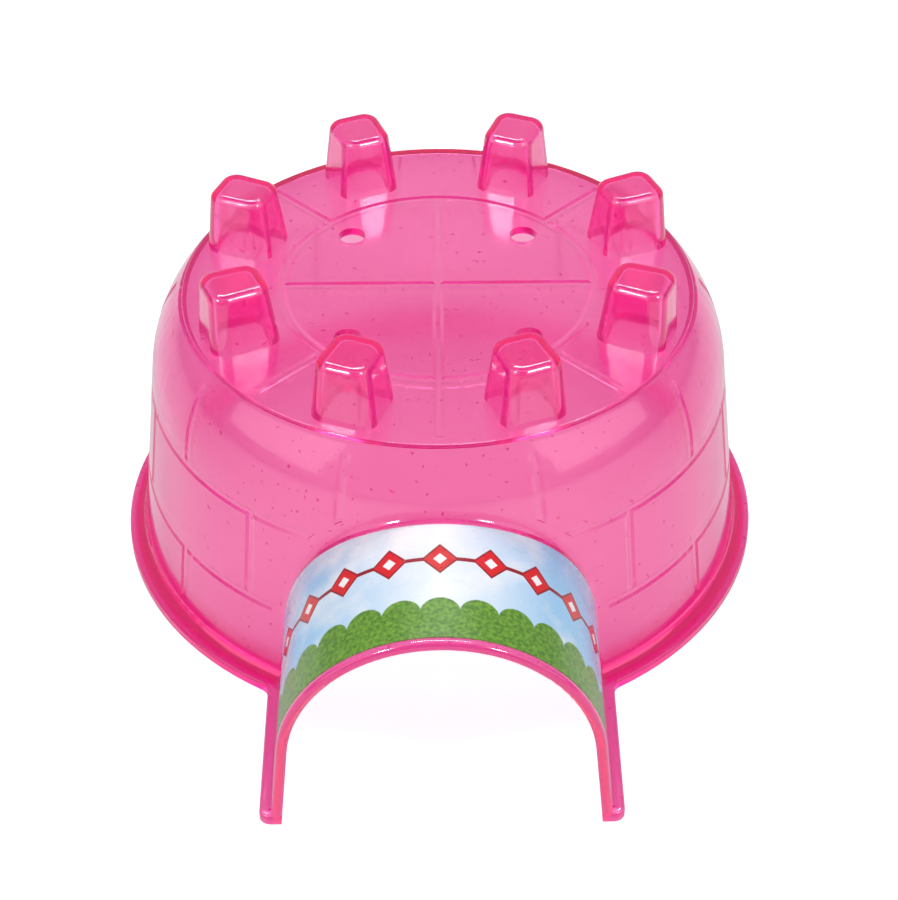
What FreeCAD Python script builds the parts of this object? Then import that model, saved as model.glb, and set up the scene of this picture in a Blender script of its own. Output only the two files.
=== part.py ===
import FreeCAD, Part
import math
import os

from FreeCAD import Vector

os.makedirs("parts", exist_ok=True)

# A small rodent hideout: a moulded, see-through dome that is open underneath,
# with a doorway tunnel, a ring of hollow turrets, vent holes and brick seams.
# It stands on z = 0 and the doorway faces -Y. Lengths are in millimetres and
# angles in degrees. Every piece is drawn about the dome's axis and moved at the
# end, so that the origin lies under the middle of the whole footprint.

# Dome
BASE_RADIUS = 57.0
DOME_HEIGHT = 52.3
WALL = 1.5
WALL_DRAFT = 6.4
SHOULDER_DROP = 14.3
SHOULDER_RADIUS = 25.0
PLATE_STEP = 0.7
PLATE_LEDGE = 0.4
PLATE_ROUND = 0.4
RIM_ROUND = 0.8

# Flange round the dome and along the tunnel's feet
FLANGE_WIDTH = 3.0
FLANGE_THICKNESS = 1.8
FLANGE_ROUND = 0.7
FLANGE_CORNER = 2.5
FLANGE_BLEND = 1.9
FOOT_WIDTH = 2.5
FOOT_CORNER = 2.0

# Doorway tunnel
TUNNEL_REACH = 25.6
ARCH_RADIUS = 25.5
ARCH_CENTRE = 14.3
LEG_FLARE = 5.5
TUNNEL_BLEND = 2.0
LEG_BLEND_END = 40.0
LIP_LENGTH = 1.6
LIP_RISE = 0.4
LIP_ROUND = 0.9
LIP_HEEL_ROUND = 0.3

# Turrets
TURRET_COUNT = 8
TURRET_HEIGHT = 11.5
TURRET_DEPTH = 12.8
TURRET_WIDTH = 12.3
TURRET_WEDGE = 2.2
TURRET_EDGE_GAP = 2.0
TURRET_SIDE_DRAFT = 6.0
TURRET_OUTER_DRAFT = 3.0
TURRET_INNER_DRAFT = 7.0
TURRET_CORNER = 3.0
TURRET_TOP_ROUND = 1.6
HOLLOW_CORNER = 1.6
HOLLOW_TOP_ROUND = 0.6

# Vent holes
VENT_COUNT = 4
VENT_DIAMETER = 5.0
VENT_CIRCLE = 45.0

# Brick seams
SEAM_WIDTH = 2.0
SEAM_FLOOR_WIDTH = 0.8
SEAM_DEPTH = 0.24
SEAM_OVERCUT = 0.3
LOWER_SEAM_HEIGHT = 16.3
UPPER_SEAM_HEIGHT = 34.2
BRICKS_ROUND = 9.5
SEAM_END_GAP = 0.8
TUNNEL_CLEARANCE = 0.6
PLATE_RING = 56.6
SPOKE_END_GAP = 2.5
SPOKE_ANGLES = (0.0, 45.0, 135.0, 225.0, 315.0)

# Printed label wrapped over the tunnel
LABEL_THICKNESS = 0.2
LABEL_ADHESIVE = 0.1
LABEL_FOOT = 4.0
LABEL_WALL_GAP = 1.7
LABEL_LIP_GAP = 0.2

# How far a cutting solid runs past the surface that it opens
OVERCUT = 1.0

# How deep the edges of a blend sink into what it joins
SINK = 0.02

# Tolerance with which the seams are cut, because they follow the wall's own curves
CUT_TOLERANCE = 0.001

# How near counts as the same place when edges are picked
NEAR = 0.01

# Share of its length that an upright edge rises by
MOSTLY = 0.7

UP = Vector(0, 0, 1)
ORIGIN = Vector(0, 0, 0)


def sine(degrees):
    return math.sin(math.radians(degrees))


def cosine(degrees):
    return math.cos(math.radians(degrees))


def tangent(degrees):
    return math.tan(math.radians(degrees))


def wall_point(distance, inset):
    """Radius and height of a point on the straight wall, measured up along it."""
    radius = BASE_RADIUS - distance * sine(WALL_DRAFT) - inset * cosine(WALL_DRAFT)
    height = distance * cosine(WALL_DRAFT) - inset * sine(WALL_DRAFT)
    return radius, height


def wall_radius(height):
    """Outer radius of the straight wall at a height."""
    return BASE_RADIUS - height * tangent(WALL_DRAFT)


def shoulder_point(angle, inset):
    """Radius and height on the arc that turns the wall in towards the plate."""
    spring = (DOME_HEIGHT - SHOULDER_DROP) / cosine(WALL_DRAFT)
    centre_radius, centre_height = wall_point(spring, SHOULDER_RADIUS)
    arc = SHOULDER_RADIUS - inset
    return centre_radius + arc * cosine(angle), centre_height + arc * sine(angle)


def shoulder_angle(height, inset):
    """Angle on the shoulder's arc that reaches a height."""
    level = shoulder_point(0.0, inset)[1]
    return math.degrees(math.asin((height - level) / (SHOULDER_RADIUS - inset)))


RIM_HEIGHT = DOME_HEIGHT - PLATE_STEP
RIM_RADIUS = shoulder_point(shoulder_angle(RIM_HEIGHT, 0.0), 0.0)[0]
PLATE_RADIUS = RIM_RADIUS - PLATE_LEDGE
CEILING = DOME_HEIGHT - WALL
FLANGE_RADIUS = BASE_RADIUS + FLANGE_WIDTH
TUNNEL_FRONT = BASE_RADIUS + TUNNEL_REACH
CROWN_HEIGHT = ARCH_CENTRE + ARCH_RADIUS + WALL


def dome_body(inset, bottom, top):
    """The dome turned about its axis, inset from the outer wall, between two heights."""
    foot_distance = (bottom + inset * sine(WALL_DRAFT)) / cosine(WALL_DRAFT)
    end_angle = shoulder_angle(top, inset)
    profile = [
        (0.0, bottom),
        wall_point(foot_distance, inset),
        shoulder_point(WALL_DRAFT, inset),
        shoulder_point((WALL_DRAFT + end_angle) / 2, inset),
        shoulder_point(end_angle, inset),
        (0.0, top),
    ]
    axis_foot, foot, spring, middle, end, axis_top = [Vector(r, 0, z) for r, z in profile]
    edges = [
        Part.makeLine(axis_foot, foot),
        Part.makeLine(foot, spring),
        Part.Arc(spring, middle, end).toShape(),
        Part.makeLine(end, axis_top),
        Part.makeLine(axis_top, axis_foot),
    ]
    return Part.Face(Part.Wire(edges)).revolve(ORIGIN, UP, 360)


def arch_half_width(offset, height):
    """Half width of the tunnel's flared leg at a height, offset from its inner face."""
    arc = ARCH_RADIUS + offset
    spring_height = ARCH_CENTRE + arc * sine(LEG_FLARE)
    return arc * cosine(LEG_FLARE) + (spring_height - height) * tangent(LEG_FLARE)


def arch_body(offset, front, back, foot):
    """The tunnel's arch, offset from its inner face, between two distances ahead of the axis."""
    arc = ARCH_RADIUS + offset
    spring_x = arc * cosine(LEG_FLARE)
    spring_z = ARCH_CENTRE + arc * sine(LEG_FLARE)
    foot_x = arch_half_width(offset, foot)
    left_foot = Vector(-foot_x, -front, foot)
    left_spring = Vector(-spring_x, -front, spring_z)
    crown = Vector(0, -front, ARCH_CENTRE + arc)
    right_spring = Vector(spring_x, -front, spring_z)
    right_foot = Vector(foot_x, -front, foot)
    edges = [
        Part.makeLine(left_foot, left_spring),
        Part.Arc(left_spring, crown, right_spring).toShape(),
        Part.makeLine(right_spring, right_foot),
        Part.makeLine(right_foot, left_foot),
    ]
    return Part.Face(Part.Wire(edges)).extrude(Vector(0, front - back, 0))


def edge_middle(edge):
    """The point half way along an edge."""
    return edge.valueAt((edge.FirstParameter + edge.LastParameter) / 2)


def lies_on(point, shape):
    """Whether a point lies on the skin of a solid."""
    return shape.Shells[0].distToShape(Part.Vertex(point))[0] < NEAR


def upright(edge):
    """Whether an edge stands closer to upright than to level."""
    start, end = edge.Vertexes[0].Point, edge.Vertexes[-1].Point
    return abs(end.z - start.z) > MOSTLY * edge.Length


def level_at(edge, height):
    """Whether a whole edge lies at one height."""
    box = edge.BoundBox
    return abs(box.ZMin - height) < NEAR and abs(box.ZMax - height) < NEAR


def upright_at(shape, y):
    """The upright edges of a shape that stand at a distance along Y."""
    return [edge for edge in shape.Edges if upright(edge) and abs(edge_middle(edge).y - y) < NEAR]


def dome_and_tunnel():
    """The closed outer form of dome and tunnel, with a blend where they meet."""
    dome = dome_body(0.0, 0.0, RIM_HEIGHT)
    tunnel = arch_body(WALL, TUNNEL_FRONT - LIP_LENGTH / 2, 0.0, 0.0)
    joined = dome.fuse(tunnel).removeSplitter()
    meeting = []
    for edge in joined.Edges:
        middle = edge_middle(edge)
        if middle.z > NEAR and lies_on(middle, dome) and lies_on(middle, tunnel):
            meeting.append(edge)
    blended = joined.makeFillet(TUNNEL_BLEND, meeting)
    return blended.makeFillet(RIM_ROUND, [edge for edge in blended.Edges if level_at(edge, RIM_HEIGHT)])


def top_plate():
    """The flat top, a small step above the shoulder, with a rounded edge."""
    disc = Part.makeCylinder(PLATE_RADIUS, DOME_HEIGHT - CEILING, Vector(0, 0, CEILING))
    return disc.makeFillet(PLATE_ROUND, [edge for edge in disc.Edges if level_at(edge, DOME_HEIGHT)])


def flange():
    """The flat flange under the wall and along both feet, not yet opened inside."""
    foot_x = arch_half_width(WALL, FLANGE_THICKNESS) + FOOT_WIDTH
    corner_y = -math.sqrt(FLANGE_RADIUS ** 2 - foot_x ** 2)
    disc = Part.makeCylinder(FLANGE_RADIUS, FLANGE_THICKNESS)
    feet = Part.makeBox(2 * foot_x, TUNNEL_FRONT, FLANGE_THICKNESS, Vector(-foot_x, -TUNNEL_FRONT, 0))
    plate = disc.fuse(feet).removeSplitter()
    plate = plate.makeFillet(FOOT_CORNER, upright_at(plate, -TUNNEL_FRONT))
    plate = plate.makeFillet(FLANGE_CORNER, upright_at(plate, corner_y))
    return plate.makeFillet(FLANGE_ROUND, [e for e in plate.Edges if level_at(e, FLANGE_THICKNESS)])


def foot_section(radius, draft):
    """Section that rounds the inner corner of a leaning wall and the flange, towards +X."""
    run = FLANGE_BLEND / tangent((90.0 + draft) / 2)
    corner = Vector(radius, 0, FLANGE_THICKNESS)
    hub = corner + Vector(run, 0, FLANGE_BLEND)
    outer = corner + Vector(run, 0, -SINK)
    middle = hub + (corner - hub).normalize() * FLANGE_BLEND
    upper = corner + Vector(-run * sine(draft) - SINK, 0, run * cosine(draft))
    inner = upper - Vector(WALL / 2, 0, 0)
    root = Vector(inner.x, 0, FLANGE_THICKNESS / 2)
    base = Vector(outer.x, 0, FLANGE_THICKNESS / 2)
    edges = [
        Part.Arc(outer, middle, upper).toShape(),
        Part.makeLine(upper, inner),
        Part.makeLine(inner, root),
        Part.makeLine(root, base),
        Part.makeLine(base, outer),
    ]
    return Part.Face(Part.Wire(edges))


def foot_blends():
    """The rounded inner corners round the dome's foot and along the tunnel's two legs."""
    ring = foot_section(wall_radius(FLANGE_THICKNESS), WALL_DRAFT).revolve(ORIGIN, UP, 360)
    leg = foot_section(arch_half_width(WALL, FLANGE_THICKNESS), LEG_FLARE)
    leg.translate(Vector(0, LIP_LENGTH - TUNNEL_FRONT, 0))
    right = leg.extrude(Vector(0, TUNNEL_FRONT - LIP_LENGTH - LEG_BLEND_END, 0))
    left = right.mirror(ORIGIN, Vector(1, 0, 0))
    return [ring, right, left]


def lip():
    """The rounded bead that ends the tunnel, from floor to floor round the doorway."""
    outer = arch_body(WALL + LIP_RISE, TUNNEL_FRONT, TUNNEL_FRONT - LIP_LENGTH, 0.0)
    inner = arch_body(0.0, TUNNEL_FRONT + OVERCUT, TUNNEL_FRONT - LIP_LENGTH - OVERCUT, -OVERCUT)
    bead = outer.cut(inner)
    front = []
    heel = []
    for edge in bead.Edges:
        middle = edge_middle(edge)
        outside = abs(middle.x) > arch_half_width(WALL, middle.z) or middle.z > CROWN_HEIGHT
        if abs(middle.y + TUNNEL_FRONT) < NEAR and middle.z > NEAR:
            front.append(edge)
        if abs(middle.y + TUNNEL_FRONT - LIP_LENGTH) < NEAR and middle.z > NEAR and outside:
            heel.append(edge)
    return bead.makeFillet(LIP_ROUND, front).makeFillet(LIP_HEEL_ROUND, heel)


def turret_section(height, inset):
    """Corners of a turret on the +X side, at a height above the plate, inset all round."""
    edge = PLATE_RADIUS - TURRET_EDGE_GAP
    outer_x = edge - height * tangent(TURRET_OUTER_DRAFT) - inset
    inner_x = edge - TURRET_DEPTH + height * tangent(TURRET_INNER_DRAFT) + inset
    half_width = TURRET_WIDTH / 2 - height * tangent(TURRET_SIDE_DRAFT) - inset
    outer_y = half_width - (edge - outer_x) * tangent(TURRET_WEDGE)
    inner_y = half_width - (edge - inner_x) * tangent(TURRET_WEDGE)
    corners = [(outer_x, -outer_y), (outer_x, outer_y), (inner_x, inner_y), (inner_x, -inner_y)]
    return [Vector(x, y, DOME_HEIGHT + height) for x, y in corners]


def flat_face(corners):
    """A flat face inside a closed run of corners."""
    return Part.Face(Part.makePolygon(corners + corners[:1]))


def turret_body(inset, bottom, top, corner, top_round):
    """A drafted turret block between two heights above the plate, with rounded edges."""
    low = turret_section(bottom, inset)
    high = turret_section(top, inset)
    faces = [flat_face(low[::-1]), flat_face(high)]
    for index in range(len(low)):
        following = (index + 1) % len(low)
        faces.append(flat_face([low[index], low[following], high[following], high[index]]))
    block = Part.makeSolid(Part.makeShell(faces))
    block = block.makeFillet(corner, [edge for edge in block.Edges if upright(edge)])
    return block.makeFillet(top_round, [e for e in block.Edges if level_at(e, DOME_HEIGHT + top)])


def round_the_axis(shape, count, first_angle):
    """Copies of a shape set evenly round the dome's axis."""
    copies = []
    for index in range(count):
        copy = shape.copy()
        copy.rotate(ORIGIN, UP, first_angle + index * 360.0 / count)
        copies.append(copy)
    return copies


def turrets():
    """The solid outer forms of all turrets, rooted in the top plate."""
    block = turret_body(0.0, -WALL / 2, TURRET_HEIGHT, TURRET_CORNER, TURRET_TOP_ROUND)
    return round_the_axis(block, TURRET_COUNT, 180.0 / TURRET_COUNT)


def turret_hollows():
    """The hollows inside the turrets, open to the den below."""
    hollow = turret_body(WALL, -WALL - OVERCUT, TURRET_HEIGHT - WALL, HOLLOW_CORNER, HOLLOW_TOP_ROUND)
    return round_the_axis(hollow, TURRET_COUNT, 180.0 / TURRET_COUNT)


def vents():
    """The round holes through the top plate."""
    hole = Part.makeCylinder(
        VENT_DIAMETER / 2, WALL + 2 * OVERCUT, Vector(VENT_CIRCLE / 2, 0, CEILING - OVERCUT)
    )
    return round_the_axis(hole, VENT_COUNT, 180.0 / VENT_COUNT)


def groove(start, along, outward):
    """Section of a seam's cutter: across it, from just outside the surface to its floor."""
    side = outward.cross(along)
    spread = (SEAM_WIDTH - SEAM_FLOOR_WIDTH) / 2 / SEAM_DEPTH
    mouth = SEAM_WIDTH / 2 + SEAM_OVERCUT * spread
    top = start + outward * SEAM_OVERCUT
    floor = start - outward * SEAM_DEPTH
    half_floor = SEAM_FLOOR_WIDTH / 2
    return flat_face([
        top - side * mouth,
        floor - side * half_floor,
        floor + side * half_floor,
        top + side * mouth,
    ])


def level_seam(height):
    """Cutter of a seam that runs round the straight wall."""
    radius, level = wall_point(height / cosine(WALL_DRAFT), 0.0)
    outward = Vector(cosine(WALL_DRAFT), 0, sine(WALL_DRAFT))
    section = groove(Vector(radius, 0, level), Vector(0, 1, 0), outward)
    return section.revolve(ORIGIN, UP, 360)


def upright_seam(bottom, top):
    """Cutter of a seam that runs up the wall, and on over the shoulder if it reaches that high."""
    spring = DOME_HEIGHT - SHOULDER_DROP
    start_radius, start_height = wall_point(bottom / cosine(WALL_DRAFT), 0.0)
    rise = Vector(-sine(WALL_DRAFT), 0, cosine(WALL_DRAFT))
    outward = Vector(cosine(WALL_DRAFT), 0, sine(WALL_DRAFT))
    section = groove(Vector(start_radius, 0, start_height), rise, outward)
    length = (min(top, spring) - bottom) / cosine(WALL_DRAFT)
    straight = section.extrude(rise * length)
    if top <= spring:
        return straight
    section.translate(rise * length)
    hub = Vector(shoulder_point(0.0, SHOULDER_RADIUS)[0], 0, shoulder_point(0.0, SHOULDER_RADIUS)[1])
    turn = shoulder_angle(top, 0.0) - WALL_DRAFT
    return straight.fuse(section.revolve(hub, Vector(0, -1, 0), turn))


def turned(shape, angle):
    """A shape drawn towards +X, turned to point at an angle from the front."""
    shape.rotate(ORIGIN, UP, angle - 90.0)
    return shape


def course_angles(first_step):
    """Angles of the upright seams in one course, counted out both ways from the front."""
    pitch = 360.0 / BRICKS_ROUND
    angles = []
    step = first_step
    while step * pitch < 180.0:
        angles.extend([step * pitch, -step * pitch])
        step += 1.0
    return angles


def wall_seams():
    """The shallow grooves that mark three courses of bricks on the wall."""
    cutters = [level_seam(height) for height in (LOWER_SEAM_HEIGHT, UPPER_SEAM_HEIGHT)]
    courses = [
        (FLANGE_THICKNESS + FLANGE_BLEND + SEAM_END_GAP, LOWER_SEAM_HEIGHT, 0.5),
        (LOWER_SEAM_HEIGHT, UPPER_SEAM_HEIGHT, 1.0),
        (UPPER_SEAM_HEIGHT, RIM_HEIGHT - RIM_ROUND - SEAM_END_GAP, 0.5),
    ]
    for bottom, top, first_step in courses:
        for angle in course_angles(first_step):
            cutters.append(turned(upright_seam(bottom, top), angle))
    pattern = cutters[0].fuse(cutters[1:])
    tunnel_zone = arch_body(WALL + TUNNEL_BLEND + TUNNEL_CLEARANCE, TUNNEL_FRONT, 0.0, -OVERCUT)
    return pattern.cut(tunnel_zone)


def plate_seam(start, end, angle):
    """Cutter of a straight seam on the top plate, between two distances from the axis."""
    section = groove(Vector(start, 0, DOME_HEIGHT), Vector(1, 0, 0), UP)
    return turned(section.extrude(Vector(end - start, 0, 0)), angle)


def plate_seams():
    """The ring, cross and spokes cut shallowly into the top plate."""
    reach = PLATE_RING / 2
    ring = groove(Vector(reach, 0, DOME_HEIGHT), Vector(0, 1, 0), UP).revolve(ORIGIN, UP, 360)
    cutters = [plate_seam(-reach, reach, angle) for angle in (0.0, 90.0)]
    for angle in SPOKE_ANGLES:
        cutters.append(plate_seam(reach, PLATE_RADIUS - SPOKE_END_GAP, angle))
    return ring.fuse(cutters)


def shell():
    """The whole moulding: dome, tunnel, flange, lip and turrets in one wall, hollow inside."""
    outside = dome_and_tunnel().fuse([top_plate(), flange()] + foot_blends() + turrets())
    den = dome_body(WALL, -OVERCUT, CEILING)
    doorway = arch_body(0.0, TUNNEL_FRONT + OVERCUT, 0.0, -OVERCUT)
    inside = den.fuse([doorway] + turret_hollows() + vents())
    moulding = outside.cut(inside).fuse(lip())
    return moulding.cut([wall_seams(), plate_seams()], CUT_TOLERANCE).removeSplitter()


def label():
    """The printed strip laid over the tunnel behind the lip, its back edge following the wall."""
    front = TUNNEL_FRONT - LIP_LENGTH - LABEL_LIP_GAP
    underside = WALL + LABEL_ADHESIVE
    strip = arch_body(underside + LABEL_THICKNESS, front, 0.0, LABEL_FOOT)
    tunnel = arch_body(underside, front + OVERCUT, -OVERCUT, 0.0)
    return strip.cut([tunnel, dome_body(-LABEL_WALL_GAP, 0.0, DOME_HEIGHT)])


def export(name, piece):
    """Moves a piece from the dome's axis to the part's own origin and writes it."""
    piece.translate(Vector(0, (TUNNEL_FRONT - FLANGE_RADIUS) / 2, 0))
    piece.exportStep(f"parts/{name}.step")


export("shell", shell())
export("label", label())
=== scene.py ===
import math

import bpy
from mathutils import Matrix, Vector


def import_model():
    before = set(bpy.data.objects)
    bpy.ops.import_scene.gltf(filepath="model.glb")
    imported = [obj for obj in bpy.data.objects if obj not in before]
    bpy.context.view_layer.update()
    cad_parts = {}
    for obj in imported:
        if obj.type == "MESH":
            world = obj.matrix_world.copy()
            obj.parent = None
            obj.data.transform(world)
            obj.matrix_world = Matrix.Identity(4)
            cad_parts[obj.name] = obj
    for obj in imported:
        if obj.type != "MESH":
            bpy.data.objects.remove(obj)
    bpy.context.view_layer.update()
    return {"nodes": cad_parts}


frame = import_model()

# Lengths are in metres and angles in degrees, unless a comment says otherwise.
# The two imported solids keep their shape. This script gives them their materials
# and adds the floor, the lamps, the surroundings and the camera.

# Where the dome's axis stands along Y
AXIS_Y = 0.0113

# Camera, worked out from the photo's circles and corners. Right and up are how far it
# is shifted sideways from a line through the foot of the dome's axis.
CAMERA_AZIMUTH = -0.30
CAMERA_ELEVATION = 39.28
CAMERA_ROLL = -0.28
CAMERA_DISTANCE = 0.45839
CAMERA_RIGHT = 0.00183
CAMERA_UP = 0.01044
CAMERA_NEAREST = 0.01
LENS_MM = 93.84
SENSOR_MM = 36.0

# Strength of the white surroundings as light and in reflections. Seen straight or
# through the plastic they are plain white.
DIFFUSE_SKY = 0.25
GLOSSY_SKY = 0.32

# Lamps: name, place, width, depth and power in watts, all aimed at one point
LAMP_TARGET = (0.0, 0.0, 0.03)
LAMPS = (
    ("key_left", (-0.43, -0.38, 0.63), 0.12, 0.12, 2.0),
    ("key_right", (0.43, -0.38, 0.63), 0.12, 0.12, 2.0),
    ("back", (0.0, 0.46, 0.76), 0.50, 0.05, 2.5),
    ("left", (-0.62, -0.30, 0.42), 0.60, 0.60, 0.9),
    ("right", (0.62, -0.30, 0.42), 0.60, 0.60, 0.9),
)

# Floor: half its side, how far it lies under the object, its grey, and its faint mottling
FLOOR_HALF_SIDE = 3.0
FLOOR_DROP = 0.00005
FLOOR_SHADE = 0.60
FLOOR_MOTTLE = 0.01
FLOOR_MOTTLE_SCALE = 3.0
FLOOR_ROUGHNESS = 0.9

# The open floor's own white: seen straight, through the plastic, and mirrored in it
FLOOR_WHITE = 0.85
FLOOR_THROUGH = 0.30
FLOOR_MIRRORED = 0.16

# Painted pink light: seen through the plastic, the floor under the dome and the tunnel gives off
# a faint pink light of its own, in place of the light that the plastic lets through
INDOOR_PAINTED_LIGHT = 0.25
INDOOR_PAINTED_LIGHT_COLOUR = (1.0, 0.15, 0.40)
DOME_FOOT = 0.0602
TUNNEL_FOOT_SIDE = 0.0340
TUNNEL_FOOT_FRONT = 0.082

# Plastic: what its thickness absorbs, in 1/m at full strength, and the colour left
TINT_DENSITY = 400.0
TINT_COLOUR = (1.0, 0.0, 0.77)
PLASTIC_IOR = 1.49
COAT_WEIGHT = 1.0
COAT_ROUGHNESS = 0.04

# Slow changes of the plastic's haze: their scale in 1/m and the roughness range
HAZE_SCALE = 45.0
HAZE_LOW = 0.10
HAZE_HIGH = 0.18

# Tint of each surface that light passes on its way through the plastic
WALL_TINT = (0.81, 0.91, 0.69)

# Deeper tint of the turrets, which sets in above the top plate
TURRET_TINT = (0.785, 0.67, 0.56)
PLATE_TOP = 0.0524
TURRET_DEEP = 0.0540

# Deepest tint, where the wall's foot rounds into the flange: it fades out upwards
# between two heights, and outwards at a distance from the dome's axis
FOOT_TINT = (0.74, 0.01, 0.26)
DEEP_TOP = 0.0026
DEEP_END = 0.0075
DEEP_RADIUS = 0.0590
DEEP_EDGE = 0.0004

# Specks in the plastic: peaks of a fine noise, from where they start to their full tint
SPECK_TINT = (0.55, 0.10, 0.22)
SPECKS_PER_METRE = 1000.0
SPECK_LEVEL = 0.79
SPECK_FULL = 0.83

# Painted light: a faint glow that the plastic gives off though it is no lamp, for the light
# the dye scatters. It is stronger and paler in the thick lip that ends the tunnel, painting that
# lip brighter
PAINTED_GLOW_STRENGTH = 0.118
PAINTED_GLOW_COLOUR = (1.0, 0.01, 0.46)
LIP_PAINTED_GLOW_COLOUR = (1.95, 0.32, 1.20)
LIP_BACK_Y = -0.0695
LIP_FADE = 0.0006

# Where the print is laid out: height of the arch's centre, the label's outer radius,
# and its back edge over the crown
ARCH_CENTRE_Z = 0.0143
LABEL_RADIUS = 0.0273
LABEL_BACK_Y = -0.0431
MM_PER_METRE = 1000.0

# Print, in millimetres round the tunnel and along it from the label's back edge
DIAMOND_PITCH = 8.5
DIAMOND_HALF_WIDTH = 3.1
DIAMOND_HALF_LENGTH = 3.6
CHAIN_PLACE = 8.0
CHAIN_HALF_WIDTH = 0.45
CHAIN_SOFTNESS = 0.06
SCALLOP_PITCH = 6.4
SCALLOP_RADIUS = 3.3
SCALLOP_PLACE = 20.6
SCALLOP_SOFTNESS = 0.08

# Shares of a diamond's size: its outline, its red and its white eye
DIAMOND_OUTLINE = 1.0
DIAMOND_RED = 0.86
DIAMOND_EYE = 0.36
DIAMOND_SOFTNESS = 0.02

# Clouds and leaves: scale in 1/m, detail, and the range of the noise that is used
CLOUD_SCALE = 90.0
CLOUD_DETAIL = 3.0
CLOUD_RANGE = (0.48, 0.76)
LEAF_SCALE = 1500.0
LEAF_DETAIL = 2.0
LEAF_RANGE = (0.35, 0.65)

# Half turn round the crown, in radians, where the sky is white, and how softly it ends
BRIGHT_TURN = 0.35
BRIGHT_FADE = 0.45

# Colours of the print
SKY_BLUE = (0.34, 0.64, 0.95)
SKY_WHITE = (0.93, 0.96, 0.98)
CHAIN_RED = (0.72, 0.012, 0.015)
CHAIN_DARK = (0.30, 0.005, 0.01)
LEAF_GREEN = (0.07, 0.21, 0.02)
LEAF_LIGHT = (0.19, 0.40, 0.04)

# Sheen of the printed film
SHEEN_SCALE = 400.0
SHEEN_DETAIL = 2.0
SHEEN_RANGE = (0.3, 0.7)
SHEEN_LOW = 0.24
SHEEN_HIGH = 0.34
FILM_COAT_WEIGHT = 0.3
FILM_COAT_ROUGHNESS = 0.1

WHITE = (1.0, 1.0, 1.0)

# Places of a mix node's two colour inputs and of its colour result
MIX_COLOURS = (6, 7)
MIX_RESULT = 2


def new_material(name):
    """An empty node material with a Principled shader and its output."""
    material = bpy.data.materials.new(name)
    material.use_nodes = True
    material.cycles.emission_sampling = "NONE"
    tree = material.node_tree
    tree.nodes.clear()
    shader = tree.nodes.new("ShaderNodeBsdfPrincipled")
    output = tree.nodes.new("ShaderNodeOutputMaterial")
    tree.links.new(shader.outputs["BSDF"], output.inputs["Surface"])
    return material, tree, shader, output


def object_coordinates(tree):
    """Places on the object, in the shared frame, whole and split into X, Y and Z."""
    coordinates = tree.nodes.new("ShaderNodeTexCoord").outputs["Object"]
    split = tree.nodes.new("ShaderNodeSeparateXYZ")
    tree.links.new(coordinates, split.inputs[0])
    return coordinates, split.outputs


def noise(tree, coordinates, scale, detail=0.0):
    """A noise texture over the given coordinates."""
    node = tree.nodes.new("ShaderNodeTexNoise")
    node.inputs["Scale"].default_value = scale
    node.inputs["Detail"].default_value = detail
    tree.links.new(coordinates, node.inputs["Vector"])
    return node.outputs["Fac"]


def calculate(tree, operation, first, second=None, third=None):
    """One sum on sockets or plain numbers."""
    node = tree.nodes.new("ShaderNodeMath")
    node.operation = operation
    for index, value in enumerate((first, second, third)):
        if value is None:
            continue
        if isinstance(value, (int, float)):
            node.inputs[index].default_value = value
        else:
            tree.links.new(value, node.inputs[index])
    return node.outputs[0]


def remap(tree, value, low, high, out_low, out_high):
    """A value stretched from one range to another and held inside it."""
    node = tree.nodes.new("ShaderNodeMapRange")
    node.inputs["From Min"].default_value = low
    node.inputs["From Max"].default_value = high
    node.inputs["To Min"].default_value = out_low
    node.inputs["To Max"].default_value = out_high
    tree.links.new(value, node.inputs["Value"])
    return node.outputs["Result"]


def inside(tree, distance, limit, softness):
    """One where a distance is under a limit, zero beyond it, with a soft edge."""
    return remap(tree, distance, limit - softness, limit + softness, 1.0, 0.0)


def mix(tree, factor, first, second):
    """Mix of two colours, each a plain colour or a socket."""
    node = tree.nodes.new("ShaderNodeMix")
    node.data_type = "RGBA"
    tree.links.new(factor, node.inputs["Factor"])
    for index, colour in zip(MIX_COLOURS, (first, second)):
        if isinstance(colour, tuple):
            node.inputs[index].default_value = (*colour, 1.0)
        else:
            tree.links.new(colour, node.inputs[index])
    return node.outputs[MIX_RESULT]


def length_of(tree, first, second):
    """Distance to a point that lies so far off in two square directions."""
    squares = (calculate(tree, "MULTIPLY", side, side) for side in (first, second))
    return calculate(tree, "SQRT", calculate(tree, "ADD", *squares))


def axis_distance(tree, x, y):
    """Distance from the dome's upright axis."""
    return length_of(tree, x, calculate(tree, "SUBTRACT", y, AXIS_Y))


def plastic_tint(tree, coordinates, x, y, z):
    """Tint of the plastic's surface: deeper at the foot, in the turrets and in specks."""
    near_wall = inside(tree, axis_distance(tree, x, y), DEEP_RADIUS, DEEP_EDGE)
    low = remap(tree, z, DEEP_TOP, DEEP_END, 1.0, 0.0)
    foot = calculate(tree, "MULTIPLY", near_wall, low)
    colour = mix(tree, foot, WALL_TINT, FOOT_TINT)
    turret = remap(tree, z, PLATE_TOP, TURRET_DEEP, 0.0, 1.0)
    colour = mix(tree, turret, colour, TURRET_TINT)
    grain = noise(tree, coordinates, SPECKS_PER_METRE)
    speck = remap(tree, grain, SPECK_LEVEL, SPECK_FULL, 0.0, 1.0)
    return mix(tree, speck, colour, SPECK_TINT)


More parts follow.
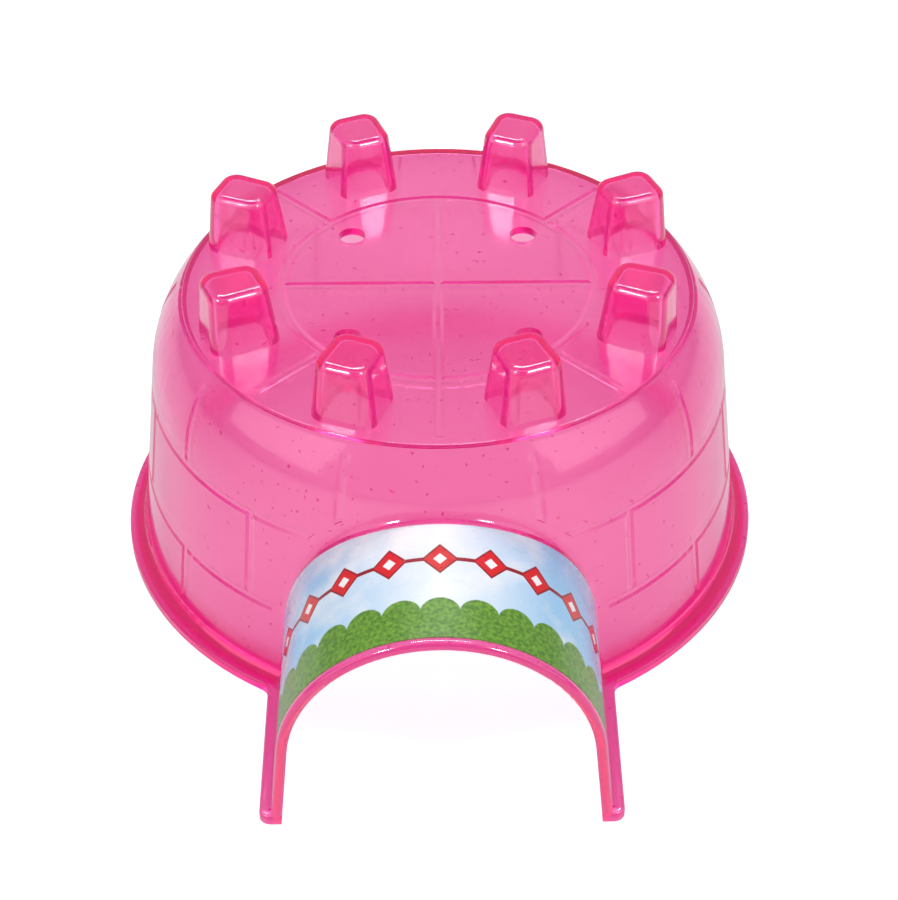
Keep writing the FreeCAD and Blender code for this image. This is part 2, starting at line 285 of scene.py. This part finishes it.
def plastic():
    """Clear pink moulded plastic: a glossy coat over faint haze, tinted by its thickness, with a
    painted glow of light.
    """
    material, tree, shader, output = new_material("pink_plastic")
    coordinates, (x, y, z) = object_coordinates(tree)
    tree.links.new(plastic_tint(tree, coordinates, x, y, z), shader.inputs["Base Color"])
    haze = remap(tree, noise(tree, coordinates, HAZE_SCALE), 0.0, 1.0, HAZE_LOW, HAZE_HIGH)
    tree.links.new(haze, shader.inputs["Roughness"])
    shader.inputs["IOR"].default_value = PLASTIC_IOR
    shader.inputs["Transmission Weight"].default_value = 1.0
    shader.inputs["Coat Weight"].default_value = COAT_WEIGHT
    shader.inputs["Coat Roughness"].default_value = COAT_ROUGHNESS
    # Painted glow: the plastic emits light, brighter and paler on the lip at the tunnel's front
    lip = remap(tree, y, LIP_BACK_Y - LIP_FADE, LIP_BACK_Y, 1.0, 0.0)
    tree.links.new(mix(tree, lip, PAINTED_GLOW_COLOUR, LIP_PAINTED_GLOW_COLOUR), shader.inputs["Emission Color"])
    shader.inputs["Emission Strength"].default_value = PAINTED_GLOW_STRENGTH
    volume = tree.nodes.new("ShaderNodeVolumeAbsorption")
    volume.inputs["Color"].default_value = (*TINT_COLOUR, 1.0)
    volume.inputs["Density"].default_value = TINT_DENSITY
    tree.links.new(volume.outputs["Volume"], output.inputs["Volume"])
    return material


def print_sky(tree, coordinates, turn):
    """Pale sky with clouds, white over the crown."""
    clouds = noise(tree, coordinates, CLOUD_SCALE, CLOUD_DETAIL)
    clouds = remap(tree, clouds, *CLOUD_RANGE, 0.0, 1.0)
    sky = mix(tree, clouds, SKY_BLUE, SKY_WHITE)
    bright = inside(tree, calculate(tree, "ABSOLUTE", turn), BRIGHT_TURN, BRIGHT_FADE)
    return mix(tree, bright, sky, SKY_WHITE)


def print_leaves(tree, coordinates, round_mm, along_mm, colour):
    """Green leaves laid over a colour, from a scalloped edge to the label's front."""
    beside = calculate(tree, "PINGPONG", round_mm, SCALLOP_PITCH / 2)
    behind = calculate(tree, "SUBTRACT", SCALLOP_PLACE, along_mm)
    behind = calculate(tree, "MAXIMUM", behind, 0.0)
    bow = length_of(tree, beside, behind)
    leafy = inside(tree, bow, SCALLOP_RADIUS, SCALLOP_SOFTNESS)
    blades = noise(tree, coordinates, LEAF_SCALE, LEAF_DETAIL)
    blades = remap(tree, blades, *LEAF_RANGE, 0.0, 1.0)
    return mix(tree, leafy, colour, mix(tree, blades, LEAF_GREEN, LEAF_LIGHT))


def print_chain(tree, round_mm, along_mm, colour):
    """A chain of red diamonds with dark outlines and white eyes, laid over a colour."""
    beside = calculate(tree, "PINGPONG", round_mm, DIAMOND_PITCH / 2)
    off_chain = calculate(tree, "SUBTRACT", along_mm, CHAIN_PLACE)
    off_chain = calculate(tree, "ABSOLUTE", off_chain)
    chain = inside(tree, off_chain, CHAIN_HALF_WIDTH, CHAIN_SOFTNESS)
    colour = mix(tree, chain, colour, CHAIN_DARK)
    across = calculate(tree, "DIVIDE", beside, DIAMOND_HALF_WIDTH)
    along = calculate(tree, "DIVIDE", off_chain, DIAMOND_HALF_LENGTH)
    diamond = calculate(tree, "ADD", across, along)
    fields = ((DIAMOND_OUTLINE, CHAIN_DARK), (DIAMOND_RED, CHAIN_RED), (DIAMOND_EYE, SKY_WHITE))
    for share, field in fields:
        colour = mix(tree, inside(tree, diamond, share, DIAMOND_SOFTNESS), colour, field)
    return colour


def print_film():
    """Printed label: a chain of red diamonds on pale sky over a scalloped green edge."""
    material, tree, shader, output = new_material("printed_film")
    coordinates, (x, y, z) = object_coordinates(tree)
    turn = calculate(tree, "ARCTAN2", x, calculate(tree, "SUBTRACT", z, ARCH_CENTRE_Z))
    round_mm = calculate(tree, "MULTIPLY", turn, LABEL_RADIUS * MM_PER_METRE)
    along_mm = calculate(tree, "MULTIPLY_ADD", y, -MM_PER_METRE, LABEL_BACK_Y * MM_PER_METRE)
    colour = print_sky(tree, coordinates, turn)
    colour = print_leaves(tree, coordinates, round_mm, along_mm, colour)
    colour = print_chain(tree, round_mm, along_mm, colour)
    tree.links.new(colour, shader.inputs["Base Color"])
    sheen = noise(tree, coordinates, SHEEN_SCALE, SHEEN_DETAIL)
    sheen = remap(tree, sheen, *SHEEN_RANGE, SHEEN_LOW, SHEEN_HIGH)
    tree.links.new(sheen, shader.inputs["Roughness"])
    shader.inputs["Coat Weight"].default_value = FILM_COAT_WEIGHT
    shader.inputs["Coat Roughness"].default_value = FILM_COAT_ROUGHNESS
    return material


def outdoors(tree, x, y):
    """One on the open floor, zero under the dome and the tunnel."""
    past_dome = calculate(tree, "GREATER_THAN", axis_distance(tree, x, y), DOME_FOOT)
    beside = calculate(tree, "GREATER_THAN", calculate(tree, "ABSOLUTE", x), TUNNEL_FOOT_SIDE)
    back = calculate(tree, "SUBTRACT", y, AXIS_Y)
    ahead = calculate(tree, "LESS_THAN", back, -TUNNEL_FOOT_FRONT)
    behind = calculate(tree, "GREATER_THAN", back, 0.0)
    past_tunnel = calculate(tree, "MAXIMUM", calculate(tree, "MAXIMUM", beside, ahead), behind)
    return calculate(tree, "MULTIPLY", past_dome, past_tunnel)


def floor_white_and_painted_light(tree, rays, open_floor):
    """The floor's own white, which depends on how it is seen, and the painted pink light under
    the dome and the tunnel.
    """
    straight = calculate(tree, "MULTIPLY", rays["Is Camera Ray"], FLOOR_WHITE)
    # Painted light: seen through the plastic, the floor under the dome and the tunnel gives off
    # the painted pink light
    through = remap(tree, open_floor, 0.0, 1.0, INDOOR_PAINTED_LIGHT, FLOOR_THROUGH)
    through = calculate(tree, "MULTIPLY", rays["Is Transmission Ray"], through)
    mirrored = calculate(tree, "SUBTRACT", rays["Is Glossy Ray"], rays["Is Transmission Ray"])
    mirrored = calculate(tree, "MAXIMUM", mirrored, 0.0)
    mirrored = calculate(tree, "MULTIPLY", mirrored, open_floor)
    mirrored = calculate(tree, "MULTIPLY", mirrored, FLOOR_MIRRORED)
    return calculate(tree, "MAXIMUM", calculate(tree, "MAXIMUM", straight, through), mirrored)


def floor_material():
    """Pale matt floor, white to the camera, with painted pink light under the dome and the
    tunnel when seen through the plastic.
    """
    material, tree, shader, output = new_material("floor")
    coordinates, (x, y, z) = object_coordinates(tree)
    darker = (FLOOR_SHADE - FLOOR_MOTTLE,) * 3
    paler = (FLOOR_SHADE + FLOOR_MOTTLE,) * 3
    mottle = noise(tree, coordinates, FLOOR_MOTTLE_SCALE)
    tree.links.new(mix(tree, mottle, darker, paler), shader.inputs["Base Color"])
    shader.inputs["Roughness"].default_value = FLOOR_ROUGHNESS
    shader.inputs["Specular IOR Level"].default_value = 0.0
    rays = tree.nodes.new("ShaderNodeLightPath").outputs
    open_floor = outdoors(tree, x, y)
    bare = calculate(tree, "MAXIMUM", open_floor, rays["Is Camera Ray"])
    # Colour of the floor's own light: white on the open floor and to the camera, painted pink
    # light under the dome and the tunnel
    tree.links.new(mix(tree, bare, INDOOR_PAINTED_LIGHT_COLOUR, WHITE), shader.inputs["Emission Color"])
    tree.links.new(floor_white_and_painted_light(tree, rays, open_floor), shader.inputs["Emission Strength"])
    return material


def floor():
    """A plain pale floor under the object."""
    side = FLOOR_HALF_SIDE
    corners = [(-side, -side, 0.0), (side, -side, 0.0), (side, side, 0.0), (-side, side, 0.0)]
    mesh = bpy.data.meshes.new("floor")
    mesh.from_pydata(corners, [], [(0, 1, 2, 3)])
    mesh.materials.append(floor_material())
    plane = bpy.data.objects.new("floor", mesh)
    plane.location.z = -FLOOR_DROP
    bpy.context.scene.collection.objects.link(plane)


def world():
    """White surroundings to the camera and through the plastic, softer as light."""
    scene = bpy.context.scene
    scene.world = bpy.data.worlds.new("studio")
    scene.world.use_nodes = True
    tree = scene.world.node_tree
    tree.nodes.clear()
    rays = tree.nodes.new("ShaderNodeLightPath").outputs
    seen = calculate(tree, "MAXIMUM", rays["Is Camera Ray"], rays["Is Transmission Ray"])
    diffuse = calculate(tree, "MULTIPLY", rays["Is Diffuse Ray"], DIFFUSE_SKY - GLOSSY_SKY)
    strength = calculate(tree, "ADD", diffuse, GLOSSY_SKY)
    background = tree.nodes.new("ShaderNodeBackground")
    background.inputs["Color"].default_value = (*WHITE, 1.0)
    tree.links.new(calculate(tree, "MAXIMUM", strength, seen), background.inputs["Strength"])
    output = tree.nodes.new("ShaderNodeOutputWorld")
    tree.links.new(background.outputs["Background"], output.inputs["Surface"])


def area_light(name, place, width, depth, power):
    """A soft oblong lamp aimed at the object."""
    data = bpy.data.lights.new(name, "AREA")
    data.shape = "RECTANGLE"
    data.size = width
    data.size_y = depth
    data.energy = power
    lamp = bpy.data.objects.new(name, data)
    lamp.location = place
    towards = Vector(LAMP_TARGET) - Vector(place)
    lamp.rotation_euler = towards.to_track_quat("-Z", "Y").to_euler()
    bpy.context.scene.collection.objects.link(lamp)


def camera():
    """The camera at the photo's viewing angle."""
    azimuth = math.radians(CAMERA_AZIMUTH)
    elevation = math.radians(CAMERA_ELEVATION)
    roll = math.radians(CAMERA_ROLL)
    back = Vector((
        math.sin(azimuth) * math.cos(elevation),
        -math.cos(azimuth) * math.cos(elevation),
        math.sin(elevation),
    ))
    level = Vector((math.cos(azimuth), math.sin(azimuth), 0.0))
    upward = back.cross(level)
    right = level * math.cos(roll) + upward * math.sin(roll)
    up = upward * math.cos(roll) - level * math.sin(roll)
    place = right * CAMERA_RIGHT + up * CAMERA_UP + back * CAMERA_DISTANCE
    data = bpy.data.cameras.new("camera")
    data.lens = LENS_MM
    data.sensor_width = SENSOR_MM
    data.clip_start = CAMERA_NEAREST
    eye = bpy.data.objects.new("camera", data)
    turn = Matrix((right, up, back)).transposed().to_4x4()
    eye.matrix_world = Matrix.Translation(place + Vector((0.0, AXIS_Y, 0.0))) @ turn
    bpy.context.scene.collection.objects.link(eye)
    bpy.context.scene.camera = eye


def dress(node, material):
    """Gives a carried-over solid one material all over."""
    for surface in node.material_slots:
        surface.material = material


dress(frame["nodes"]["shell"], plastic())
dress(frame["nodes"]["label"], print_film())
floor()
world()
for lamp in LAMPS:
    area_light(*lamp)
camera()
bpy.context.scene.view_settings.view_transform = "Standard"
